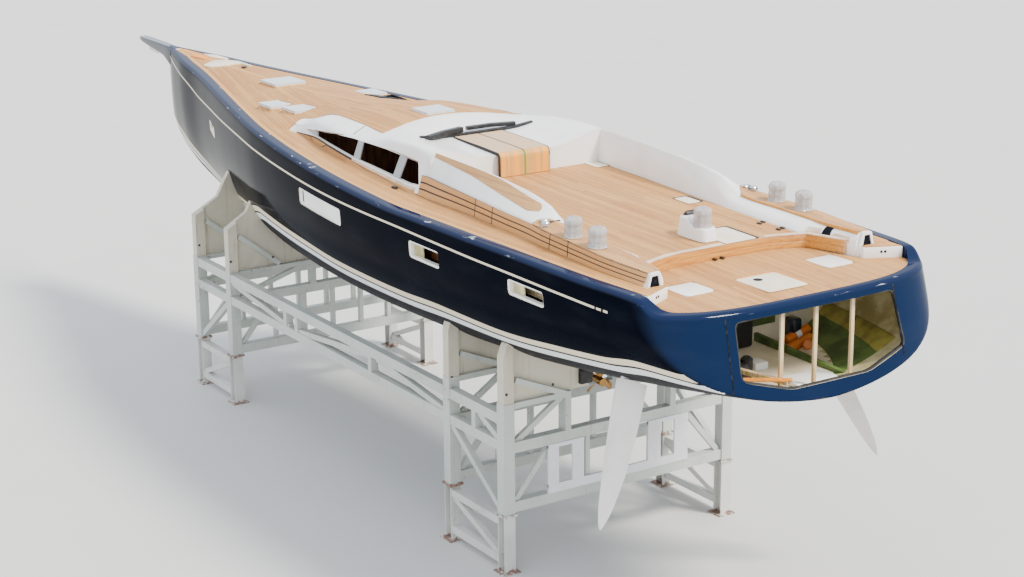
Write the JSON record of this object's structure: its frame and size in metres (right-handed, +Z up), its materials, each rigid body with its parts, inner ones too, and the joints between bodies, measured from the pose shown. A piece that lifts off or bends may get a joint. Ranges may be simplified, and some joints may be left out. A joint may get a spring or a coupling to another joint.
{
  "type": "sailing yacht on a steel cradle",
  "caption": "Large cruising yacht hull with teak decks, open stern garage and twin rudders, without keel or mast, standing on its steel transport cradle.",
  "frame": {"origin": "on the floor, at the middle of the overall length and breadth", "axes": "+X to the bow, +Y to port, +Z up"},
  "size_m": [26.1432, 6.15, 6.91],
  "materials": {
    "hull_paint": "glossy dark navy paint",
    "white_laminate": "satin white gelcoat",
    "teak": "bare teak planks with dark caulking",
    "varnish": "varnished teak",
    "hatch": "grey protective sheet on acrylic",
    "film": "clear film over metal",
    "black_fitting": "satin black",
    "joinery": "satin brown veneer",
    "pine": "planed pine",
    "garage_green": "raw green laminate",
    "cradle_steel": "worn pale grey-green paint with rust",
    "saddle_cream": "worn cream paint",
    "bronze": "cast bronze",
    "engine": "painted casting"
  },
  "bodies": {
    "yacht": {"hull_shell": "hull_paint", "bowsprit": "hull_paint", "deck_moulding": "white_laminate", "teak_foredeck": "teak", "coaming_port": "white_laminate", "coaming_starboard": "white_laminate", "cockpit_sole": "white_laminate", "teak_sole": "teak", "step_riser": "varnish", "aft_deck": "white_laminate", "teak_aft_deck": "teak", "aft_panel": "saddle_cream", "console_port": "white_laminate", "console_starboard": "white_laminate", "winch_port_fore": "film", "winch_port_aft": "film", "winch_starboard_fore": "film", "winch_starboard_aft": "film", "winch_pedestal": "white_laminate", "winch_pedestal_drum": "film", "companionway_cover": "varnish", "roof_rail": "black_fitting", "transom_batten_1": "pine", "transom_batten_2": "pine", "transom_batten_3": "pine", "garage_floor": "garage_green", "garage_bulkhead": "white_laminate", "garage_locker": "garage_green", "engine_beds": "white_laminate", "engine_block": "engine", "cabin_sole": "joinery", "saloon_bulkhead_fore": "joinery", "saloon_bulkhead_aft": "joinery", "keel_landing": "black_fitting", "shaft_strut": "bronze", "cradle_side_port": "cradle_steel", "cradle_side_starboard": "cradle_steel", "cradle_cross_a": "cradle_steel", "cradle_cross_b": "cradle_steel", "cradle_cross_c": "cradle_steel", "cradle_cross_d": "cradle_steel", "saddle_a_port": "saddle_cream", "saddle_a_starboard": "saddle_cream", "saddle_b_port": "saddle_cream", "saddle_b_starboard": "saddle_cream", "saddle_c_port": "saddle_cream", "saddle_c_starboard": "saddle_cream", "saddle_d_port": "saddle_cream", "saddle_d_starboard": "saddle_cream"},
    "port_rudder": {"rudder_port": "white_laminate"},
    "starboard_rudder": {"rudder_starboard": "white_laminate"},
    "screw": {"propeller": "bronze"},
    "forward_hatch": {"hatch_lid_forward": "hatch"},
    "port_fore_hatch": {"hatch_lid_port_fore": "hatch"},
    "starboard_fore_hatch": {"hatch_lid_starboard_fore": "hatch"},
    "port_aft_hatch": {"hatch_lid_port_aft": "hatch"},
    "middle_hatch": {"hatch_lid_middle": "hatch"},
    "port_locker": {"aft_lid_port": "white_laminate"},
    "starboard_locker": {"aft_lid_starboard": "white_laminate"}
  },
  "joints": [
    {"name": "port_rudder_turn", "type": "hinge", "parent": "yacht", "child": "port_rudder", "pos_m": [-10.25, 1.88, 4.29], "axis": [0.2897, -0.4097, 0.865], "range_deg": [-35, 35]},
    {"name": "starboard_rudder_turn", "type": "hinge", "parent": "yacht", "child": "starboard_rudder", "pos_m": [-10.25, -1.88, 4.29], "axis": [0.2897, 0.4097, 0.865], "range_deg": [-35, 35]},
    {"name": "screw_turn", "type": "hinge", "parent": "yacht", "child": "screw", "pos_m": [-6.9, 0, 2.89], "axis": [0.9935, 0, 0.1142], "continuous": true},
    {"name": "forward_hatch_open", "type": "hinge", "parent": "yacht", "child": "forward_hatch", "pos_m": [5.625, 0, 6.465], "axis": [0, 1, 0], "range_deg": [0, 85]},
    {"name": "port_fore_hatch_open", "type": "hinge", "parent": "yacht", "child": "port_fore_hatch", "pos_m": [3.65, 1.17, 6.38], "axis": [0, 1, 0], "range_deg": [0, 85]},
    {"name": "starboard_fore_hatch_open", "type": "hinge", "parent": "yacht", "child": "starboard_fore_hatch", "pos_m": [3.65, -1.17, 6.38], "axis": [0, 1, 0], "range_deg": [0, 85]},
    {"name": "port_aft_hatch_open", "type": "hinge", "parent": "yacht", "child": "port_aft_hatch", "pos_m": [2.68, 1.1, 6.435], "axis": [0, 1, 0], "range_deg": [0, 85]},
    {"name": "middle_hatch_open", "type": "hinge", "parent": "yacht", "child": "middle_hatch", "pos_m": [-0.94, 0, 6.88], "axis": [0, 1, 0], "range_deg": [0, 85]},
    {"name": "port_locker_open", "type": "hinge", "parent": "yacht", "child": "port_locker", "pos_m": [-10.995, 1.42, 5.86966], "axis": [0, 1, 0], "range_deg": [0, 85]},
    {"name": "starboard_locker_open", "type": "hinge", "parent": "yacht", "child": "starboard_locker", "pos_m": [-10.995, -1.42, 5.86966], "axis": [0, 1, 0], "range_deg": [0, 85]}
  ],
  "couplings": [
    {"joint": "starboard_rudder_turn", "follows": "port_rudder_turn", "ratio": 1}
  ]
}
